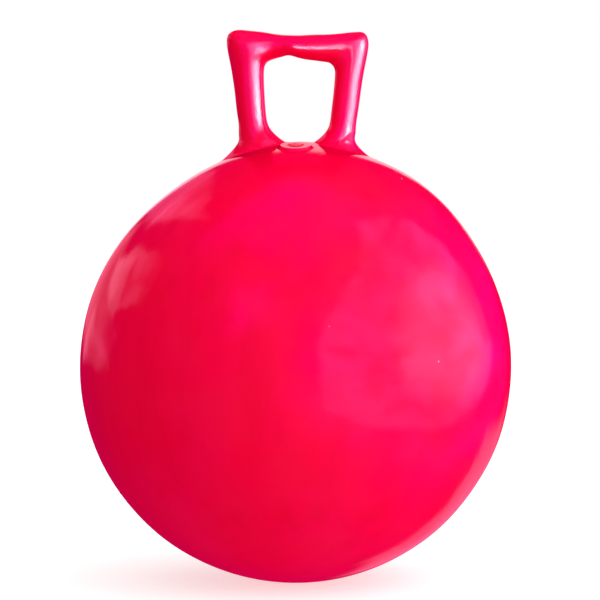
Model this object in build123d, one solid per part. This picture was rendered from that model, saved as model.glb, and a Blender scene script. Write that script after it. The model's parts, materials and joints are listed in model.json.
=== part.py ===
from build123d import *
import os
from collections import namedtuple
from math import asin, cos, degrees, pi, radians, sin, sqrt

# An inflatable hopper ball with a hollow loop handle and a push-in air valve, at its blown-up size.
#
# Millimetres. The origin is the centre of the flat patch that the ball rests on, +Z is up, +X runs along
# the hand bar and the valve is on the -Y side of the crown.

# ---- driving dimensions ----------------------------------------------------------------------------------

# ball skin
ball_diameter = 450.0
skin_wall = 1.2
rest_patch_radius = 20.0  # the skin presses flat under the ball's own weight
crown_rise = 10.0  # the crown stands this far above the plain sphere
crown_angle = 32.0  # polar angle, from the top, at which the crown leaves the sphere

# handle
handle_wall = 2.2
section_points = 8  # the smooth oval of each section runs through this many points

# valve, a plug in a moulded-in seat
valve_offset = 35.0  # from the ball's axis, towards -Y
seat_neck_radius = 8.5
seat_flange_radius = 14.0
seat_flange_thickness = 1.8
seat_tube_radius = 5.5
seat_length = 16.0  # from the outside of the crown to the inner end
bore_radius = 3.5
recess_depth = 0.8
recess_gap = 0.35  # round the plug's head
head_radius = 6.25
head_proud = 1.1  # height of the head above the crown
head_rounding = 0.5
dish_radius = 3.6
dish_depth = 0.3
stem_length = 12.0  # below the head
stem_gap = 0.05  # between the ribs and the bore
stem_core_radius = 2.8
rib_count = 3
rib_width = 1.4
tip_radius = 2.0
tip_length = 2.4

# A handle section is an ellipse centred at x, z, square to the tube's run, which leans lean degrees from
# +Z towards +X. Its half width lies in the plane of the loop and its half depth along Y.
Section = namedtuple("Section", "x z lean half_width half_depth")

left_leg = [
    Section(-37.0, 445.0, -14, 33.0, 32.0),  # spread wide inside the ball
    Section(-40.5, 460.0, -13, 21.7, 21.0),  # root, on the crown
    Section(-44.2, 476.0, -8, 15.4, 16.0),  # foot
    Section(-48.4, 508.0, -4, 15.5, 15.5),
    Section(-50.0, 535.0, -2, 17.1, 16.5),
]
left_corner = [Section(-49.6, 556.4, 35, 22.6, 17.5)]
hand_bar = [
    Section(-21.5, 559.0, 90, 12.3, 14.5),
    Section(-7.0, 559.4, 91, 10.3, 13.5),  # pinch, where the loop's two halves meet
    Section(10.0, 558.0, 92, 12.0, 14.0),
    Section(28.0, 556.6, 92, 13.4, 14.5),
]
right_corner = [Section(54.6, 555.0, 138, 21.8, 17.5)]
right_leg = [
    Section(55.6, 534.0, 186, 15.4, 16.0),
    Section(52.3, 508.0, 187, 14.1, 15.0),
    Section(48.2, 476.0, 189, 14.2, 15.5),  # foot
    Section(45.0, 460.0, 194, 19.0, 19.5),  # root, on the crown
    Section(41.0, 445.0, 195, 33.0, 32.0),  # spread wide inside the ball
]

# ---- worked out from the driving dimensions --------------------------------------------------------------

ball_radius = ball_diameter / 2
ball_centre_z = sqrt(ball_radius**2 - rest_patch_radius**2)
dome_centre_z = ball_centre_z + crown_rise / (1 - cos(radians(crown_angle)))
dome_radius = ball_centre_z + ball_radius + crown_rise - dome_centre_z
valve_lean = degrees(asin(valve_offset / dome_radius))
recess_radius = head_radius + recess_gap
rib_radius = bore_radius - stem_gap
standing = (Align.CENTER, Align.CENTER, Align.MIN)  # a round solid's foot is on its own origin


def ball_envelope(inset):
    """Solid inside the skin's outer face moved in by inset: a sphere, a shoulder and a flatter crown."""
    sphere = ball_radius - inset
    dome = dome_radius - inset
    flat_radius = sqrt(sphere**2 - (ball_centre_z - inset) ** 2)
    apex = (0, dome_centre_z + dome)
    shoulder = [
        (dome * sin(radians(crown_angle)), dome_centre_z + dome * cos(radians(crown_angle))),
        (sphere * sin(radians(crown_angle)), ball_centre_z + sphere * cos(radians(crown_angle))),
    ]
    crown_middle = (
        dome * sin(radians(crown_angle / 2)),
        dome_centre_z + dome * cos(radians(crown_angle / 2)),
    )
    outline = [
        ThreePointArc(apex, crown_middle, shoulder[0]),
        Line(shoulder[0], shoulder[1]),
        ThreePointArc(shoulder[1], (sphere, ball_centre_z), (flat_radius, inset)),
        Line((flat_radius, inset), (0, inset)),
        Line((0, inset), apex),
    ]
    return revolve(Plane.XZ * make_face(outline), Axis.Z)


def section_face(place, inset):
    """Oval face across the handle at one section, its outline starting on the +Y side everywhere."""
    run = (sin(radians(place.lean)), 0, cos(radians(place.lean)))
    plane = Plane(origin=(place.x, 0, place.z), x_dir=(0, 1, 0), z_dir=run)
    turns = [2 * pi * index / section_points for index in range(section_points)]
    depth = place.half_depth - inset
    width = place.half_width - inset
    outline = Spline([(depth * cos(turn), width * sin(turn)) for turn in turns], periodic=True)
    return plane * make_face(outline)


def handle_envelope(inset):
    """Solid inside the handle's outer face moved in by inset, from root to root over both corners."""
    places = left_leg + left_corner + hand_bar + right_corner + right_leg
    return loft([section_face(place, inset) for place in places])


def on_valve_axis(radius, low, high):
    """Upright cylinder on the valve's axis, between two heights above the crown's outer face."""
    return Pos(0, 0, low) * Cylinder(radius, high - low, align=standing)


def place_valve(shape):
    """Move a shape made about the Z axis onto the crown, its axis square to the skin."""
    seat_point = (
        0,
        -dome_radius * sin(radians(valve_lean)),
        dome_centre_z + dome_radius * cos(radians(valve_lean)),
    )
    return Pos(*seat_point) * Rot(valve_lean, 0, 0) * shape


def ball_skin():
    """Hollow ball, open into both legs and pierced for the valve seat."""
    shell = ball_envelope(0) - ball_envelope(skin_wall)
    shell -= handle_envelope(handle_wall)
    return shell - place_valve(on_valve_axis(seat_neck_radius, -10, 10))


def handle_loop():
    """Hollow loop that stands on the crown."""
    standing_part = handle_envelope(0) - ball_envelope(0)
    return standing_part - handle_envelope(handle_wall)


def valve_seat():
    """Bush through the skin: flush neck with a recess for the head, inner flange, long tube and bore."""
    flange_low = -skin_wall - seat_flange_thickness
    inside = on_valve_axis(seat_flange_radius, flange_low, 0)
    flange = place_valve(inside) & ball_envelope(skin_wall)
    neck = place_valve(on_valve_axis(seat_neck_radius, flange_low, 10)) & ball_envelope(0)
    tube = on_valve_axis(seat_tube_radius, -seat_length, flange_low)
    recess = on_valve_axis(recess_radius, -recess_depth, 10)
    bore = on_valve_axis(bore_radius, -seat_length - 1, 10)
    return flange + neck + place_valve(tube) - place_valve(recess) - place_valve(bore)


def valve_plug():
    """Stopper: dished head with a rounded rim, ribbed stem and a tapered tip."""
    head = on_valve_axis(head_radius, -recess_depth, head_proud)
    head = fillet(head.edges().group_by(Axis.Z)[-1], head_rounding)
    head -= on_valve_axis(dish_radius, head_proud - dish_depth, head_proud + 1)
    stem_low = -recess_depth - stem_length
    stem = on_valve_axis(stem_core_radius, stem_low + tip_length, -recess_depth)
    tip = Pos(0, 0, stem_low) * Cone(tip_radius, stem_core_radius, tip_length, align=standing)
    plug = head + stem + tip
    pitch = (stem_length - tip_length) / rib_count
    for index in range(rib_count):
        rib_low = stem_low + tip_length + index * pitch
        plug += on_valve_axis(rib_radius, rib_low, rib_low + rib_width)
    return place_valve(plug)


os.makedirs("parts", exist_ok=True)
for make in (ball_skin, handle_loop, valve_seat, valve_plug):
    export_step(make(), f"parts/{make.__name__}.step")
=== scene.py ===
import json
from math import cos, pi, radians, sin, tan

import bpy
import numpy as np
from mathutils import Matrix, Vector


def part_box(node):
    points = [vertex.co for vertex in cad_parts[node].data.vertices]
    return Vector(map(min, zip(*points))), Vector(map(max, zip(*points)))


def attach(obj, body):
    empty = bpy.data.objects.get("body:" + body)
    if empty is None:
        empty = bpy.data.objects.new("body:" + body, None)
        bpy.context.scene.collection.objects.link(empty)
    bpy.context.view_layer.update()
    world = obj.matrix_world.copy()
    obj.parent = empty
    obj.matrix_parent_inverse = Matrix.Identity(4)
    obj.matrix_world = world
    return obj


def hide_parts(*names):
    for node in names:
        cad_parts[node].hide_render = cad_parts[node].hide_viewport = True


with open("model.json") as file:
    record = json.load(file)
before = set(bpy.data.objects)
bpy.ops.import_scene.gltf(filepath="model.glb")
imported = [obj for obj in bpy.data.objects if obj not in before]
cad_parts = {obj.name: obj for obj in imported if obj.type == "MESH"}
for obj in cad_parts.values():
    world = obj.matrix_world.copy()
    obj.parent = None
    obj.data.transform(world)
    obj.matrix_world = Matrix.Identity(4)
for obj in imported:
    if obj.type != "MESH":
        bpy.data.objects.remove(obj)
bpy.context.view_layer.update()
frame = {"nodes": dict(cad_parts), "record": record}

# The looks of an inflatable hopper ball. Metres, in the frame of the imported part: origin under the ball,
# +Z up, +X along the hand bar, the valve on the -Y side of the crown.

# ---- sizes and places, from the frame ---------------------------------------------------------------------

MM = 0.001
mounts = {mount["name"]: mount for mount in frame["record"]["mounts"]}
skin_low, skin_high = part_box("ball_skin")
pinch = Vector(mounts["hand_bar"]["pos_m"])  # the thin place of the hand bar, where its halves meet
port = np.array(mounts["inflation_port"]["pos_m"])
port_axis = np.array(mounts["inflation_port"]["axis"])
port_axis = port_axis / np.linalg.norm(port_axis)

ball_radius = (skin_high.x - skin_low.x) / 2
rest_patch_radius = 20 * MM
centre = np.array([0, 0, (ball_radius**2 - rest_patch_radius**2) ** 0.5])
crown_rise = skin_high.z - centre[2] - ball_radius

UP = np.array([0.0, 0.0, 1.0])
ALONG = np.array([1.0, 0.0, 0.0])
ACROSS = np.array([0.0, 1.0, 0.0])


# ---- the blown skin ---------------------------------------------------------------------------------------

crown_core = 8.0  # polar angle, in degrees, within which the crown is nearly flat
crown_spread = 22.6  # and that over which it falls to the round skin
crown_power = 1.6  # and how abruptly
saddle_rise = 2.0 * MM  # the part of the crown's rise that is a ridge between the legs
saddle_half_depth = 19 * MM
saddle_half_length = 60 * MM
shoulder_bulge = 2.3 * MM  # the skin swells a little round the crown
lean_bulge = 3.3 * MM  # and is fuller on the +X shoulder than on the -X one
shoulder_angle, shoulder_spread = 34, 20  # polar angles, in degrees
rest_edge = 0.12 * MM  # how softly the rest patch turns into the round skin
skin_step = 0.2 * MM  # for the slope of the skin
drop_rounds, cast_rounds = 40, 12  # enough for points to settle on the skin
ripple_height = 0.28 * MM
ripple_count = 9
ripple_lengths = (70 * MM, 190 * MM)
ripple_start = 4 * MM  # how high above the floor they set in
ripple_reach = 40 * MM  # and how much higher they are full


def make_ripples():
    """Slow waves in the skin, each a wave vector and a phase."""
    draw = np.random.default_rng(7)
    directions = draw.normal(size=(ripple_count, 3))
    directions /= np.linalg.norm(directions, axis=1, keepdims=True)
    lengths = draw.uniform(*ripple_lengths, size=(ripple_count, 1))
    return directions * 2 * pi / lengths, draw.uniform(0, 2 * pi, ripple_count)


RIPPLE_WAVES, RIPPLE_PHASES = make_ripples()


def ripple(points):
    """How far the skin stands in or out of its plain shape. It dies out on the rest patch."""
    waves = np.sin(points @ RIPPLE_WAVES.T + RIPPLE_PHASES).sum(axis=-1) / ripple_count**0.5
    fade = np.clip((points[..., 2] - ripple_start) / ripple_reach, 0, 1)
    return ripple_height * waves * fade**2


def skin_radius(directions):
    """Distance of the skin from the ball's centre along unit directions."""
    polar = np.degrees(np.arccos(np.clip(directions[..., 2], -1, 1)))
    flank = directions[..., 0] / np.maximum(np.sin(np.radians(polar)), 1e-6)
    fall = (polar**2 + crown_core**2) ** (crown_power / 2) - crown_core**crown_power
    rise = (crown_rise - saddle_rise) * np.exp(-fall / crown_spread**crown_power)
    near = directions * ball_radius
    ridge = np.exp(-((near[..., 1] / saddle_half_depth) ** 2) - (near[..., 0] / saddle_half_length) ** 4)
    rise = rise + saddle_rise * ridge * (directions[..., 2] > 0)
    shoulder = np.exp(-(((polar - shoulder_angle) / shoulder_spread) ** 2))
    rise = rise + (shoulder_bulge + lean_bulge * flank) * shoulder + ripple(centre + near)
    patch = centre[2] / np.maximum(-directions[..., 2], 1e-3) - ball_radius
    # the lesser of the two, with a soft edge between them
    return ball_radius - rest_edge * np.log(np.exp(-rise / rest_edge) + np.exp(-patch / rest_edge))


def skin_gap(points):
    """Signed distance, along the ball's radius, from the skin to points."""
    arms = points - centre
    reach = np.linalg.norm(arms, axis=-1)
    return reach - skin_radius(arms / reach[..., None])


def skin_normal(points):
    """Outward normal of the skin at points on it."""
    steps = [skin_step * axis for axis in (ALONG, ACROSS, UP)]
    normal = np.stack([skin_gap(points + step) - skin_gap(points - step) for step in steps], axis=-1)
    return normal / np.linalg.norm(normal, axis=-1, keepdims=True)


def drop_on_skin(x, y):
    """Points of the upper skin at x, y."""
    z = np.full_like(x, centre[2] + ball_radius)
    for _ in range(drop_rounds):
        arms = np.stack([x, y, z - centre[2]], axis=-1)
        unit = arms / np.linalg.norm(arms, axis=-1, keepdims=True)
        z = centre[2] + np.sqrt(skin_radius(unit) ** 2 - x**2 - y**2)
    return np.stack([x, y, z], axis=-1)


def cast_on_skin(points, axis):
    """Points moved along an axis until they lie on the skin."""
    moved = points.copy()
    for _ in range(cast_rounds):
        moved -= skin_gap(moved)[..., None] * axis
    return moved


# ---- meshes from grids ------------------------------------------------------------------------------------

def make_object(name, points, faces, normals):
    """Smooth mesh object whose shading follows the given normals."""
    mesh = bpy.data.meshes.new(name)
    mesh.from_pydata(points.tolist(), [], faces)
    mesh.validate()
    mesh.polygons.foreach_set("use_smooth", [True] * len(mesh.polygons))
    mesh.normals_split_custom_set_from_vertices(normals.tolist())
    mesh.update()
    piece = bpy.data.objects.new(name, mesh)
    bpy.context.scene.collection.objects.link(piece)
    return piece


def ring_faces(rings, around, start=0):
    """Quads between successive closed rings of vertices."""
    faces = []
    for ring in range(rings - 1):
        for turn in range(around):
            low = start + ring * around
            after = (turn + 1) % around
            faces.append((low + turn, low + after, low + around + after, low + around + turn))
    return faces


def grid_normals(grid):
    """Normals of a grid of closed rings, by the cross product of the ring's way round and the rings' run."""
    along = np.gradient(grid, axis=0)
    around = np.roll(grid, -1, axis=1) - np.roll(grid, 1, axis=1)
    normal = np.cross(around, along)
    return normal / np.maximum(np.linalg.norm(normal, axis=-1, keepdims=True), 1e-12)


# ---- the handle -------------------------------------------------------------------------------------------

# Sections of the handle: where each cuts the loop's outer and inner outline, as dx, dz from the pinch, its
# half depth along Y, and how far its front sags towards the inside, in degrees. From the left root up, over
# and down to the right root. In millimetres.
SECTIONS = [
    (-53.6, -102.4, -8.5, -97.4, 21.5, 0),
    (-52.1, -93.4, -17.3, -89.4, 18.2, 0),
    (-52.2, -83.4, -22.0, -81.4, 16.3, 0),
    (-53.9, -70.4, -24.1, -68.9, 15.4, 0),
    (-56.0, -51.9, -25.4, -50.4, 15.3, 0),
    (-58.5, -33.4, -26.0, -32.4, 15.8, 0),
    (-61.5, -16.4, -25.5, -23.5, 17.2, 0),
    (-64.4, 0.6, -24.2, -20.4, 18.6, 0),
    (-62.6, 11.0, -22.4, -18.0, 19.0, 0),
    (-55.5, 15.2, -20.2, -16.6, 18.0, 0),
    (-43.0, 15.1, -16.0, -14.9, 15.6, 0),
    (-28.0, 13.6, -10.5, -13.3, 13.8, 2),
    (-13.0, 11.2, -5.0, -11.8, 14.4, 4),
    (0.0, 10.3, 0.4, -10.9, 17.2, 3),
    (12.0, 10.2, 8.0, -12.9, 17.2, 4),
    (25.0, 10.8, 17.5, -15.1, 16.5, 4),
    (39.0, 11.0, 28.0, -16.4, 15.7, 3),
    (54.0, 12.1, 37.0, -17.6, 15.0, 1),
    (69.0, 13.5, 42.5, -18.9, 14.5, 0),
    (78.5, 12.2, 45.3, -21.2, 14.6, 0),
    (82.4, 5.1, 47.0, -23.8, 14.8, 0),
    (82.0, -6.9, 47.8, -27.4, 15.0, 0),
    (78.3, -26.4, 47.7, -33.4, 15.8, 0),
    (74.9, -47.9, 46.2, -50.9, 15.0, 0),
    (71.5, -71.9, 43.7, -72.4, 14.8, 0),
    (69.9, -83.9, 41.4, -84.6, 15.6, 0),
    (69.3, -92.4, 36.6, -92.1, 17.4, 0),
    (70.6, -102.9, 27.5, -99.8, 20.5, 0),
]
# Where each leg's root runs out on the crown: an oval of half lengths along X and Y, centred on x.
LEFT_ROOT = {"x": -42 * MM, "half_length": 39 * MM, "half_depth": 27 * MM, "outward": -1}
RIGHT_ROOT = {"x": 46 * MM, "half_length": 34 * MM, "half_depth": 26 * MM, "outward": 1}
root_pull = 1.1  # how long the root keeps to the crown's surface
handle_around, handle_along = 80, 260  # points round the tube and along it

# A fold starts at the pinch and runs along the front of the bar's +X half, dx, dz from the pinch.
FOLD = [(-1.0, -12.5), (1.5, -7.6), (9.0, -7.2), (20.0, -8.6), (38.0, -9.4)]
fold_height = 0.8 * MM
fold_reach = (5.0 * MM, 1.3 * MM)  # how far it runs out above and below its edge
fold_fade = 0.7  # how evenly it sinks towards its end
fold_front = 6 * MM  # it is on the bar's front only, and this far out it is full
fold_lead, fold_rise = 3 * MM, 5 * MM  # it sets in this far before the pinch, and rises over this length


def section_ring(section, turns):
    """Points of one oval section, from its outer side round by +Y."""
    outer = np.array([pinch.x + section[0] * MM, 0, pinch.z + section[1] * MM])
    inner = np.array([pinch.x + section[2] * MM, 0, pinch.z + section[3] * MM])
    half_depth, sag = section[4] * MM, sin(radians(section[5]))
    half_width = np.linalg.norm(outer - inner) / 2
    outward = (outer - inner) / 2 / half_width
    upright = (half_width**2 - (half_depth * sag) ** 2) ** 0.5
    across = (upright * np.cos(turns) + half_depth * sag * np.sin(turns))[:, None] * outward
    return (outer + inner) / 2 + across + (half_depth * np.sin(turns))[:, None] * ACROSS


def fold_lift(points):
    """How far the fold stands out of the bar's front, at points of the handle."""
    path = np.array(FOLD) * MM + (pinch.x, pinch.z)
    flat = points[..., [0, 2]]
    nearest = np.full(points.shape[:-1], np.inf)
    travel = np.zeros(points.shape[:-1])
    above = np.zeros(points.shape[:-1], dtype=bool)
    walked = 0
    for start, end in zip(path[:-1], path[1:]):
        length = np.linalg.norm(end - start)
        along = np.clip(((flat - start) @ (end - start)) / length**2, 0, 1)
        away = np.linalg.norm(flat - start - along[..., None] * (end - start), axis=-1)
        closer = away < nearest
        nearest = np.where(closer, away, nearest)
        travel = np.where(closer, walked + along * length, travel)
        height = (end - start)[0] * (flat - start)[..., 1] - (end - start)[1] * (flat - start)[..., 0]
        above = np.where(closer, height > 0, above)
        walked += length
    fade = np.clip((walked - travel) / walked, 0, 1) ** fold_fade
    front = np.clip(-points[..., 1] / fold_front, 0, 1)
    begun = np.clip((points[..., 0] - pinch.x + fold_lead) / fold_rise, 0, 1)
    return fold_height * np.exp(-nearest / np.where(above, *fold_reach)) * fade * front * begun


def root_ring(root, turns):
    """Points where the root runs out on the crown, and the way along the skin into the leg."""
    x = root["x"] + root["outward"] * root["half_length"] * np.cos(turns)
    y = root["half_depth"] * np.sin(turns)
    points = drop_on_skin(x, y)
    normal = skin_normal(points)
    inward = np.stack([root["x"] - x, -y, np.zeros_like(x)], axis=-1)
    inward /= np.linalg.norm(inward, axis=-1, keepdims=True)
    inward -= (inward * normal).sum(axis=-1, keepdims=True) * normal
    return points, inward / np.linalg.norm(inward, axis=-1, keepdims=True)


def spline_curves(knots, rows, start_slope, end_slope, samples):
    """Clamped cubic splines through rows of points, one for each column, at evenly spaced places."""
    count = len(knots)
    gaps = np.diff(knots)
    system = np.zeros((count, count))
    right = np.zeros_like(rows)
    rise = np.diff(rows, axis=0) / gaps[:, None, None]
    system[0, 0], system[-1, -1] = 1, 1
    right[0], right[-1] = start_slope, end_slope
    for k in range(1, count - 1):
        system[k, k - 1] = gaps[k]
        system[k, k] = 2 * (gaps[k - 1] + gaps[k])
        system[k, k + 1] = gaps[k - 1]
        right[k] = 3 * (gaps[k] * rise[k - 1] + gaps[k - 1] * rise[k])
    slopes = np.linalg.solve(system, right.reshape(count, -1)).reshape(rows.shape)
    places = np.linspace(0, knots[-1], samples)
    span = np.clip(np.searchsorted(knots, places, side="right") - 1, 0, count - 2)
    t = ((places - knots[span]) / gaps[span])[:, None, None]
    gap = gaps[span][:, None, None]
    return (
        rows[span] * (2 * t**3 - 3 * t**2 + 1)
        + slopes[span] * gap * (t**3 - 2 * t**2 + t)
        + rows[span + 1] * (-2 * t**3 + 3 * t**2)
        + slopes[span + 1] * gap * (t**3 - t**2)
    )


def make_handle():
    """Hollow loop: oval sections on a smooth run, its roots running out on the crown without a step."""
    turns = np.linspace(0, 2 * pi, handle_around, endpoint=False)
    first, first_in = root_ring(LEFT_ROOT, turns)
    last, last_in = root_ring(RIGHT_ROOT, turns)
    rings = [first] + [section_ring(section, turns) for section in SECTIONS] + [last]
    rows = np.stack(rings)
    steps = np.linalg.norm(np.diff(rows, axis=0), axis=-1).mean(axis=-1)
    knots = np.concatenate([[0], np.cumsum(steps)])
    grid = spline_curves(knots, rows, first_in * root_pull, -last_in * root_pull, handle_along)
    grid = grid - grid_normals(grid) * fold_lift(grid)[..., None]
    normals = -grid_normals(grid)
    normals[0], normals[-1] = skin_normal(first), skin_normal(last)
    faces = [face[::-1] for face in ring_faces(handle_along, handle_around)]
    return make_object("handle_moulding", grid.reshape(-1, 3), faces, normals.reshape(-1, 3))


# ---- the ball ---------------------------------------------------------------------------------------------

face_cells = 96  # squares along one side of the cube that the ball's mesh is made from
root_hole_share = 0.84  # how much of a root's oval is open from the ball into the leg
valve_hole_radius = 13 * MM
boss_radius = 19 * MM  # the skin is moulded thicker round the valve
boss_flat_radius = 15.5 * MM
boss_proud = 0.3 * MM
boss_turns, boss_steps = 96, 22  # points round it, and rings across its plain part
boss_edge_radius = 9.2 * MM
# The rounded edge of the boss, down to the valve seat: radius and how deep, in millimetres.
BOSS_EDGE = [(8.95, 0.03), (8.75, 0.12), (8.62, 0.30), (8.55, 0.55), (8.55, 1.10)]


def cube_sphere():
    """Unit directions and quads of a sphere made of six even square grids."""
    steps = np.tan(np.linspace(-pi / 4, pi / 4, face_cells + 1))
    u, v = np.meshgrid(steps, steps, indexing="ij")
    one = np.ones_like(u)
    sides = [(one, u, v), (-one, v, u), (v, one, u), (u, -one, v), (u, v, one), (v, u, -one)]
    points, faces = [], []
    row = face_cells + 1
    for side in sides:
        base = len(points) * row * row
        points.append(np.stack(side, axis=-1).reshape(-1, 3))
        for i in range(face_cells):
            for j in range(face_cells):
                corner = base + i * row + j
                faces.append((corner, corner + row, corner + row + 1, corner + 1))
    points = np.concatenate(points)
    points /= np.linalg.norm(points, axis=-1, keepdims=True)
    _, first, back = np.unique(np.round(points, 6), axis=0, return_index=True, return_inverse=True)
    return points[first], back.reshape(-1)[np.array(faces)]


def under_root(middles, root, share):
    """Which places lie under a leg, within a share of its root's oval."""
    x = (middles[:, 0] - root["x"]) / root["half_length"]
    y = middles[:, 1] / root["half_depth"]
    return (x**2 + y**2 < share**2) & (middles[:, 2] > centre[2])


def boss_rings():
    """The thick skin round the valve: closed rings from the plain skin in to the seat and down its side."""
    side = np.cross(port_axis, ALONG)
    turns = np.linspace(0, 2 * pi, boss_turns, endpoint=False)
    round_way = np.cos(turns)[:, None] * ALONG + np.sin(turns)[:, None] * side
    profile = [(radius, 0) for radius in np.linspace(boss_radius, boss_edge_radius, boss_steps)]
    profile += [(radius * MM, sink * MM) for radius, sink in BOSS_EDGE]
    rings = []
    for radius, sink in profile:
        level = port + radius * round_way
        on_skin = cast_on_skin(level, port_axis)
        share = np.clip((boss_radius - radius) / (boss_radius - boss_flat_radius), 0, 1)
        share = share**2 * (3 - 2 * share)
        target = level + (boss_proud - sink) * port_axis
        rings.append(on_skin + (target - on_skin) * share)
    return np.stack(rings)


def make_ball():
    """Blown skin, open into both legs, with a thicker boss round the valve seat."""
    directions, faces = cube_sphere()
    points = centre + directions * skin_radius(directions)[:, None]
    middles = points[faces].mean(axis=1)
    keep = np.linalg.norm(middles - port, axis=-1) > valve_hole_radius
    for root in (LEFT_ROOT, RIGHT_ROOT):
        keep &= ~under_root(middles, root, root_hole_share)
    faces = faces[keep]
    used, back = np.unique(faces, return_inverse=True)
    points, faces = points[used], back.reshape(-1, 4)
    outward = points[faces].mean(axis=1) - centre
    edge_a = points[faces[:, 1]] - points[faces[:, 0]]
    edge_b = points[faces[:, 2]] - points[faces[:, 0]]
    turned = (np.cross(edge_a, edge_b) * outward).sum(axis=-1) < 0
    faces[turned] = faces[turned][:, ::-1]
    normals = skin_normal(points)
    boss = boss_rings()
    boss_normals = grid_normals(boss)
    if (boss_normals[0] @ port_axis).mean() < 0:
        boss_normals = -boss_normals
    boss_normals[0] = skin_normal(boss[0])
    boss_faces = ring_faces(len(boss), boss.shape[1], start=len(points))
    a, b, c, _ = boss_faces[0]
    every = np.concatenate([points, boss.reshape(-1, 3)])
    if np.cross(every[b] - every[a], every[c] - every[a]) @ port_axis < 0:
        boss_faces = [face[::-1] for face in boss_faces]
    all_normals = np.concatenate([normals, boss_normals.reshape(-1, 3)])
    return make_object("ball_moulding", every, faces.tolist() + boss_faces, all_normals)


# ---- materials --------------------------------------------------------------------------------------------

class Nodes:
    """Short ways to add and link the nodes of one tree."""

    def __init__(self, tree):
        self.tree = tree
        self.place = None  # the coordinates that textures use where nothing else is said

    def add(self, kind, **settings):
        """A new node with its settings."""
        node = self.tree.nodes.new(kind)
        for key, value in settings.items():
            setattr(node, key, value)
        return node

    def feed(self, socket, value):
        """Link a node's output to a socket, or set the socket to a plain value."""
        if isinstance(value, bpy.types.NodeSocket):
            self.tree.links.new(value, socket)
        else:
            socket.default_value = value

    def filled(self, kind, inputs, **settings):
        """A node with its inputs fed, by their names or numbers."""
        node = self.add(kind, **settings)
        for key, value in inputs.items():
            self.feed(node.inputs[key], value)
        return node

    def stretched(self, scale):
        """The plain place with another scale along each axis."""
        return self.filled("ShaderNodeMapping", {"Scale": scale, "Vector": self.place}).outputs["Vector"]

    def noise(self, scale, detail, rough=0.5, place=None, result="Fac"):
        """Cloudy noise, its scale in waves per unit of its place."""
        inputs = {"Scale": scale, "Detail": detail, "Roughness": rough, "Vector": place or self.place}
        return self.filled("ShaderNodeTexNoise", inputs).outputs[result]

    def spread(self, value, low, high, to_low=0.0, to_high=1.0):
        """The range from low to high of a value, eased into another range and cut off outside it."""
        inputs = {"Value": value, "From Min": low, "From Max": high, "To Min": to_low, "To Max": to_high}
        return self.filled("ShaderNodeMapRange", inputs, interpolation_type="SMOOTHSTEP").outputs["Result"]

    def math(self, operation, *values):
        """A sum, product or the like of single values."""
        return self.filled("ShaderNodeMath", dict(enumerate(values)), operation=operation).outputs["Value"]

    def vector_math(self, operation, *values, result="Vector"):
        """The same for vectors and colours."""
        node = self.filled("ShaderNodeVectorMath", dict(enumerate(values)), operation=operation)
        return node.outputs[result]

    def mix(self, share, a, b):
        """Colour a, with a share of colour b."""
        node = self.filled("ShaderNodeMix", {"Factor": share}, data_type="RGBA")
        for key, value in (("A", a), ("B", b)):
            socket = next(s for s in node.inputs if s.name == key and s.type == "RGBA")
            self.feed(socket, (*value, 1) if isinstance(value, tuple) else value)
        return next(s for s in node.outputs if s.type == "RGBA")

    def bump(self, height, strength, distance, under=None):
        """A normal that follows a height, on top of the normal under it."""
        inputs = {"Height": height, "Strength": strength, "Distance": distance}
        if under is not None:
            inputs["Normal"] = under
        return self.filled("ShaderNodeBump", inputs).outputs["Normal"]


RED = (0.88, 0.0, 0.034)
PINK = (0.90, 0.0, 0.052)
DEEP = (0.78, 0.0, 0.030)
DUST = (0.95, 0.45, 0.55)
pvc_ior = 1.5


def new_material(name):
    """A material, its nodes and its shader's inputs."""
    material = bpy.data.materials.new(name)
    material.use_nodes = True
    nodes = Nodes(material.node_tree)
    return material, nodes, nodes.tree.nodes["Principled BSDF"].inputs


def new_pvc(name):
    """The same for PVC, with textures that ride the piece."""
    material, nodes, shader = new_material(name)
    nodes.place = nodes.add("ShaderNodeTexCoord").outputs["Object"]
    nodes.feed(shader["IOR"], pvc_ior)
    return material, nodes, shader


def dust_specks(nodes):
    """Sparse pale specks of dust, about half a millimetre in radius."""
    inputs = {"Scale": 26, "Vector": nodes.place}
    cells = nodes.filled("ShaderNodeTexVoronoi", inputs)
    draw = nodes.filled("ShaderNodeSeparateColor", {"Color": cells.outputs["Color"]}).outputs["Red"]
    speck = nodes.spread(cells.outputs["Distance"], 0.012, 0.028, 1.0, 0.0)
    return nodes.math("MULTIPLY", speck, nodes.math("GREATER_THAN", draw, 0.6))


def blown_pvc(name, low_rough, high_rough):
    """Soft red PVC blown taut: cloudy tint, flow streaks, a skin that isn't quite even, rubs and dust."""
    material, nodes, shader = new_pvc(name)
    cloud = nodes.spread(nodes.noise(7, 4, 0.55), 0.36, 0.66)
    streak = nodes.spread(nodes.noise(1, 4, 0.6, nodes.stretched((38, 38, 5))), 0.45, 0.7)
    speck = dust_specks(nodes)
    colour = nodes.mix(cloud, RED, PINK)
    colour = nodes.mix(nodes.math("MULTIPLY", streak, 0.45), colour, DEEP)
    colour = nodes.mix(nodes.math("MULTIPLY", speck, 0.8), colour, DUST)
    nodes.feed(shader["Base Color"], colour)
    rub = nodes.spread(nodes.noise(16, 6, 0.6), 0.3, 0.7, low_rough, high_rough)
    scuff = nodes.spread(nodes.noise(1, 5, 0.7, nodes.stretched((60, 60, 240))), 0.60, 0.72)
    rough = nodes.math("ADD", rub, nodes.math("MULTIPLY", scuff, 0.04))
    nodes.feed(shader["Roughness"], nodes.math("ADD", rough, nodes.math("MULTIPLY", speck, 0.4)))
    fine = nodes.bump(nodes.noise(900, 2), 0.04, 0.0004)
    slow = nodes.bump(nodes.noise(30, 3), 0.14, 0.0012, fine)
    nodes.feed(shader["Normal"], nodes.bump(streak, 0.10, 0.0006, slow))
    return material


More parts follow.
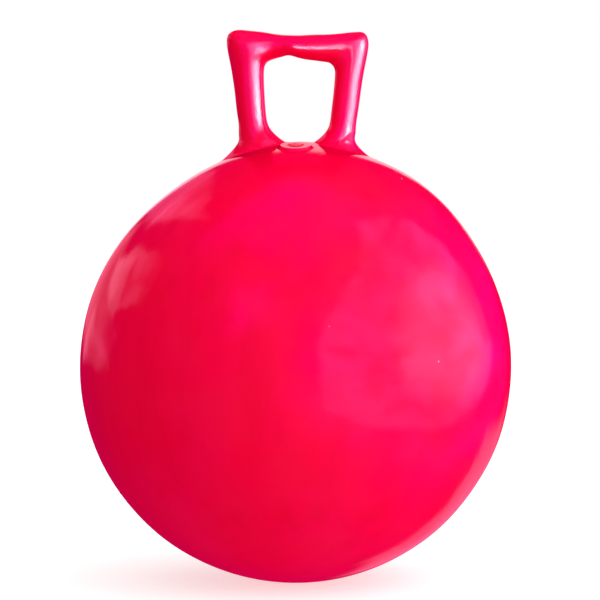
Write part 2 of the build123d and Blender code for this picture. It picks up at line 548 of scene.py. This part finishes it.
def moulded_pvc(name, tint):
    """Thicker satin PVC of the valve: cloudy tint, fine grain and scuffs."""
    material, nodes, shader = new_pvc(name)
    cloud = nodes.spread(nodes.noise(220, 4, 0.6), 0.35, 0.65)
    nodes.feed(shader["Base Color"], nodes.mix(cloud, tint, DEEP))
    nodes.feed(shader["Roughness"], nodes.spread(nodes.noise(400, 5, 0.6), 0.3, 0.7, 0.24, 0.42))
    nodes.feed(shader["Normal"], nodes.bump(nodes.noise(2600, 3, 0.6), 0.15, 0.0002))
    return material


def repaint(piece, material):
    """Give a CAD node or a new piece its material."""
    piece.data.materials.clear()
    piece.data.materials.append(material)


# ---- the pieces -------------------------------------------------------------------------------------------

ball = make_ball()
repaint(ball, blown_pvc("ball_pvc", 0.07, 0.13))
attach(ball, "ball")
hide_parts("ball_skin")

handle = make_handle()
repaint(handle, blown_pvc("handle_pvc", 0.07, 0.12))
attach(handle, "ball")
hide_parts("handle_loop")

for node, tint in (("valve_seat", RED), ("valve_plug", PINK)):
    repaint(frame["nodes"][node], moulded_pvc(node + "_pvc", tint))


# ---- floor, light and camera ------------------------------------------------------------------------------

view_distance = 3.0
view_height = 3.5  # degrees above the horizon
frame_width = 626.45 * MM  # what the camera takes in at the ball's distance
camera_aim = Vector((4.6 * MM, 0, 294 * MM))
lights_aim = Vector((0, 0, 300 * MM))
KEY_LIGHT = (52, 34, 2.6, (2.2, 2.2), 1.2)  # azimuth, elevation, distance, width and height, radiance
floor_size = 40.0
floor_tone, floor_glow = 0.6, 0.58


def make_floor():
    """Plain pale floor, glowing a little like a light table. It isn't mirrored in the ball."""
    bpy.ops.mesh.primitive_plane_add(size=floor_size)
    floor = bpy.context.object
    floor.name = "floor"
    material, nodes, shader = new_material("floor_pale")
    nodes.feed(shader["Base Color"], (floor_tone, floor_tone, floor_tone, 1))
    nodes.feed(shader["Roughness"], 0.9)
    nodes.feed(shader["Specular IOR Level"], 0.0)
    nodes.feed(shader["Emission Color"], (1, 1, 1, 1))
    nodes.feed(shader["Emission Strength"], floor_glow)
    repaint(floor, material)
    floor.visible_glossy = False
    floor.visible_diffuse = False


def heading(azimuth, elevation):
    """Direction by degrees round from -Y towards +X and degrees up."""
    turn, rise = radians(azimuth), radians(elevation)
    return Vector((sin(turn) * cos(rise), -cos(turn) * cos(rise), sin(rise)))


def make_light(name, azimuth, elevation, distance, size, radiance):
    """Soft rectangular light facing the ball, width by height in metres, of a given radiance."""
    data = bpy.data.lights.new(name, "AREA")
    data.shape = "RECTANGLE"
    data.size, data.size_y = size
    data.energy = radiance * size[0] * size[1] * pi
    light = bpy.data.objects.new(name, data)
    light.location = lights_aim + distance * heading(azimuth, elevation)
    light.rotation_euler = heading(azimuth, elevation).to_track_quat("Z", "Y").to_euler()
    light.visible_camera = False
    bpy.context.scene.collection.objects.link(light)
    return light


def make_camera():
    """Camera facing the wide side of the loop, a little above it."""
    data = bpy.data.cameras.new("camera")
    data.lens = data.sensor_width * view_distance / frame_width
    camera = bpy.data.objects.new("camera", data)
    camera.location = camera_aim + view_distance * heading(0, view_height)
    camera.rotation_euler = (camera_aim - camera.location).to_track_quat("-Z", "Y").to_euler()
    bpy.context.scene.collection.objects.link(camera)
    bpy.context.scene.camera = camera


# ---- the room round the ball ------------------------------------------------------------------------------

# What the gloss mirrors, as patches of light round the ball: their corners as azimuth and elevation in
# degrees, how soft their edges are in degrees, their cloudiness and their radiance.
PATCHES = [
    # the white backdrop, low behind the ball
    ([(167, 1), (175.5, 30), (-175.5, 30), (-167, 1)], 1, 0, (0.9, 0.8, 0.85)),
    # the room on the +X side, with a tongue over it and a window in it
    ([(13, 12), (16, 31), (50, 49), (115, 50), (126, 26),
      (128, 3), (113, -14), (74, -24), (35, -23), (15, -15)], 1.5, 0.4, (1.0, 0.22, 0.7)),
    ([(50, 49), (86, 65), (115, 50)], 1.5, 0.4, (1.0, 0.22, 0.7)),
    ([(56, 16), (70, 30), (88, 37), (108, 29), (116, 17), (117, 3), (107, -8), (88, -11), (61, -3)],
     8, 0.15, (2.2, 0.75, 1.4)),
    # ragged pale things on the -X side, high, and a bright edge on them
    ([(-165, 26), (-117, 54), (-148, 24), (-174, 4)], 1, 0.5, (0.4, 0.12, 0.25)),
    ([(-142, 42), (-117, 54), (-148, 24), (-154, 28)], 2, 0.3, (0.6, 0.2, 0.4)),
    # the same, at the middle height, with a streak
    ([(-154, 12), (-139, 23), (-122, 37), (-110, 41), (-99, 33), (-97, 21), (-121, 12)], 1, 0.7,
     (0.5, 0.17, 0.3)),
    ([(-150, 13), (-132, 24), (-119, 14), (-124, 9)], 1.5, 0.0, (0.6, 0.3, 0.4)),
    # the same, low, with two corners
    ([(-172, -2), (-160, 14), (-130, 14), (-126, 6), (-150, -3)], 2, 0.3, (0.5, 0.15, 0.2)),
    ([(-158, -4), (-148, 4), (-128, 3), (-116, -2)], 1, 0.3, (0.4, 0.12, 0.2)),
    ([(-142, 8), (-122, 12), (-112, 6), (-118, -1), (-130, 0)], 1, 0.5, (0.3, 0.06, 0.15)),
    # a pale floor far behind, on the +X side
    ([(131, -18), (157, -10), (174, -9), (174, -26), (163, -40), (150, -40), (139, -27)], 3, 0.2,
     (0.8, 0.27, 0.45)),
    # a broad magenta glow on the +X side, over the ceiling and in a doorway
    ([(0, -42), (5, 40), (65, 64), (128, 42), (150, 20), (150, -20), (128, -34), (65, -56)], 16, 0.3,
     (1.0, 0.0, 0.95)),
    ([(0, 54), (90, 54), (180, 68), (-90, 54)], 10, 0.2, (1.0, 0.0, 1.0)),
    ([(-42, 43), (-17, 45), (-14, 27), (-36, 23)], 6, 0.2, (1.0, 0.0, 1.0)),
    # red cloth behind
    ([(100, -70), (100, 60), (-100, 60), (-100, -70)], 20, 0.0, (0.55, 0.0, 0.09)),
]
waviness = 0.14  # how uneven the patches' edges are
wave_scale, wave_detail = 4.0, 3.0
cloud_scale, cloud_detail, cloud_squash = 2.6, 2.5, 2.2
fill_level = 1.0  # the even light that the surfaces receive
fill_lean = (0.58, -0.16, 0.20)  # which way the fill comes from, and how much more of it comes from there


def patch_light(nodes, direction, cloud, corners, edge, clouds, radiance):
    """Light of one patch along a direction: inside all the great circles through its corners."""
    rays = [heading(azimuth, elevation) for azimuth, elevation in corners]
    middle = sum(rays, Vector())
    depth = None
    for ray, following in zip(rays, rays[1:] + rays[:1]):
        side = ray.cross(following).normalized()
        side = side if side.dot(middle) > 0 else -side
        inside = nodes.vector_math("DOT_PRODUCT", direction, side, result="Value")
        depth = inside if depth is None else nodes.math("MINIMUM", depth, inside)
    soft = sin(radians(edge))
    share = nodes.spread(depth, -soft, soft)
    share = nodes.math("MULTIPLY", share, nodes.spread(cloud, 0.35, 0.65, 1 - clouds, 1 + clouds))
    scaled = nodes.filled("ShaderNodeVectorMath", {0: radiance, "Scale": share}, operation="SCALE")
    return scaled.outputs["Vector"]


def make_world():
    """White backdrop for the camera, an even fill for the surfaces and soft patches for the gloss."""
    world = bpy.data.worlds.new("studio")
    bpy.context.scene.world = world
    world.cycles.sampling_method = "NONE"  # its light is found by bounced rays only
    world.use_nodes = True
    world.node_tree.nodes.clear()
    nodes = Nodes(world.node_tree)
    straight = nodes.add("ShaderNodeTexCoord").outputs["Generated"]
    wave = nodes.noise(wave_scale, wave_detail, place=straight, result="Color")
    wave = nodes.vector_math("SUBTRACT", wave, (0.5, 0.5, 0.5))
    wave = nodes.vector_math("MULTIPLY", wave, (waviness,) * 3)
    direction = nodes.vector_math("ADD", straight, wave)
    squashed = nodes.vector_math("MULTIPLY", direction, (1.0, 1.0, cloud_squash))
    cloud = nodes.noise(cloud_scale, cloud_detail, place=squashed)
    mirrored = patch_light(nodes, direction, cloud, *PATCHES[0])
    for settings in PATCHES[1:]:
        mirrored = nodes.vector_math("ADD", mirrored, patch_light(nodes, direction, cloud, *settings))
    lean = nodes.vector_math("DOT_PRODUCT", direction, fill_lean, result="Value")
    fill = nodes.math("ADD", fill_level, lean)

    def background(colour):
        return nodes.filled("ShaderNodeBackground", {"Color": colour, "Strength": 1.0}).outputs["Background"]

    def choose(share, a, b):
        return nodes.filled("ShaderNodeMixShader", {0: share, 1: a, 2: b}).outputs["Shader"]

    path = nodes.add("ShaderNodeLightPath").outputs
    surface = choose(path["Is Glossy Ray"], background(fill), background(mirrored))
    surface = choose(path["Is Camera Ray"], surface, background((1, 1, 1, 1)))
    nodes.feed(nodes.add("ShaderNodeOutputWorld").inputs["Surface"], surface)


# ---- the handle's own lights ------------------------------------------------------------------------------

# Cards that only the handle mirrors: azimuth, elevation, half width and half height in degrees, the share of
# their width that fades out at each side, and radiance.
CARDS = [
    (44, 10, 44, 44, 0.3, (1.5, 1.3, 2.8)),
    (72, 2, 48, 22, 0.2, (7.5, 7.5, 9.5)),
    (64, 20, 22, 15, 0.25, (10.0, 10.0, 10.5)),
    (60, -2, 14, 26, 0.3, (5.0, 5.0, 5.0)),
    (58, 30, 36, 16, 0.3, (2.4, 2.0, 3.2)),
    (0, 22, 52, 48, 0.35, (0.3, 0.0, 1.4)),
]
BAR_CARD = (12, -14, 13, 40, 0.2, (9.5, 8.5, 10.0))  # only the +X half of the bar mirrors it
card_distance = 2.0

# Screens that keep the cards' light off where it isn't wanted.
root_flag_gap = 8 * MM  # between a root's oval and the flag round it
ROOT_FLAG_TOPS = (-84 * MM, -90 * MM)  # of the left and the right one, from the pinch
root_flag_foot = centre[2] + 0.8 * ball_radius
root_flag_mouth = (24 * MM, 22 * MM)  # half length and half depth of the mouth that the leg goes through
root_flag_slope = 9 * MM  # from the top down to the mouth
root_flag_turns = 64
back_flag_y, back_flag_reach = 6 * MM, 400 * MM
bar_screen_y, bar_screen_reach = -78 * MM, 130 * MM
bar_screen_foot, bar_screen_top = 400 * MM, 650 * MM
bar_notch_left, bar_notch_right, bar_notch_foot = -4 * MM, 64 * MM, pinch.z - 22 * MM


def make_card(name, azimuth, elevation, half_width, half_height, fading, radiance):
    """Rectangular light that fades out towards its edges, seen in gloss only."""
    size = [2 * card_distance * tan(radians(half)) for half in (half_width, half_height)]
    card = make_light(name, azimuth, elevation, card_distance, size, 1.0)
    card.visible_diffuse = False
    card.data.cycles.max_bounces = 0  # it is mirrored straight to the eye and lights nothing else
    card.data.use_nodes = True
    nodes = Nodes(card.data.node_tree)
    place = nodes.add("ShaderNodeNewGeometry").outputs["Parametric"]
    split = nodes.filled("ShaderNodeSeparateXYZ", {"Vector": place}).outputs
    level = max(radiance)
    for axis in ("X", "Y"):
        from_middle = nodes.math("ABSOLUTE", nodes.math("SUBTRACT", split[axis], 0.5))
        level = nodes.math("MULTIPLY", nodes.spread(from_middle, 0.5, 0.5 - fading), level)
    emission = nodes.tree.nodes["Emission"].inputs
    nodes.feed(emission["Color"], (*(value / max(radiance) for value in radiance), 1))
    nodes.feed(emission["Strength"], level)
    return card


def make_screen(name, points, faces, normals):
    """A screen for light: nothing sees it, and it only throws a shadow."""
    screen = make_object(name, points, faces, normals)
    screen.visible_camera = screen.visible_diffuse = screen.visible_glossy = False
    screen.visible_transmission = screen.visible_volume_scatter = False
    return screen


def make_root_flag(name, root, top):
    """Low oval wall round a root, its top turned in and down."""
    turns = np.linspace(0, 2 * pi, root_flag_turns, endpoint=False)
    outward = np.stack([np.cos(turns), np.sin(turns), np.zeros_like(turns)], axis=-1)
    size = (root["half_length"] + root_flag_gap, root["half_depth"] + root_flag_gap)
    top_z = pinch.z + top
    ovals = [(*size, root_flag_foot), (*size, top_z), (*root_flag_mouth, top_z - root_flag_slope)]
    rings = [outward * (length, depth, 0) + (root["x"], 0, level) for length, depth, level in ovals]
    faces = ring_faces(len(rings), root_flag_turns)
    return make_screen(name, np.concatenate(rings), faces, np.tile(outward, (len(rings), 1)))


def make_wall(name, y, panes):
    """Upright screen along X, of panes given by left, right, foot and top."""
    points = [(x, y, z) for left, right, foot, top in panes
              for x, z in ((left, foot), (right, foot), (right, top), (left, top))]
    faces = [tuple(range(start, start + 4)) for start in range(0, len(points), 4)]
    return make_screen(name, np.array(points), faces, np.tile(-ACROSS, (len(points), 1)))


def make_screens():
    """The flags for all the cards, and the notched screen for the bar's card."""
    reach = back_flag_reach
    flags = [
        make_root_flag("flag_left", LEFT_ROOT, ROOT_FLAG_TOPS[0]),
        make_root_flag("flag_right", RIGHT_ROOT, ROOT_FLAG_TOPS[1]),
        make_wall("flag_back", back_flag_y, [(-reach, reach, pinch.z - reach, pinch.z + reach)]),
    ]
    notched = make_wall("gobo", bar_screen_y, [
        (-bar_screen_reach, bar_screen_reach, bar_screen_foot, bar_notch_foot),
        (-bar_screen_reach, bar_notch_left, bar_notch_foot, bar_screen_top),
        (bar_notch_right, bar_screen_reach, bar_notch_foot, bar_screen_top),
    ])
    return flags, notched


def gather(name, pieces):
    """A collection of pieces, for a light to shine on or be blocked by."""
    collection = bpy.data.collections.new(name)
    for piece in pieces:
        collection.objects.link(piece)
    return collection


def make_lights():
    """A broad key light, and cards that only the handle mirrors."""
    key = make_light("key", *KEY_LIGHT)
    key.visible_glossy = False
    key.light_linking.blocker_collection = gather("key_blockers", [ball, handle])  # not the screens
    flags, notched = make_screens()
    lit = gather("card_receivers", [handle])
    blockers = gather("card_blockers", [ball, *flags])
    bar_blockers = gather("bar_card_blockers", [ball, *flags, notched])
    cards = [(f"card_{number}", settings, blockers) for number, settings in enumerate(CARDS)]
    for name, settings, blocking in [*cards, ("card_bar", BAR_CARD, bar_blockers)]:
        card = make_card(name, *settings)
        card.light_linking.receiver_collection = lit
        card.light_linking.blocker_collection = blocking


# ---- the whole scene --------------------------------------------------------------------------------------

make_floor()
make_world()
make_lights()
make_camera()
bpy.context.scene.view_settings.view_transform = "Standard"
bpy.context.scene.cycles.glossy_bounces = 0  # the pieces mirror the room, and not each other
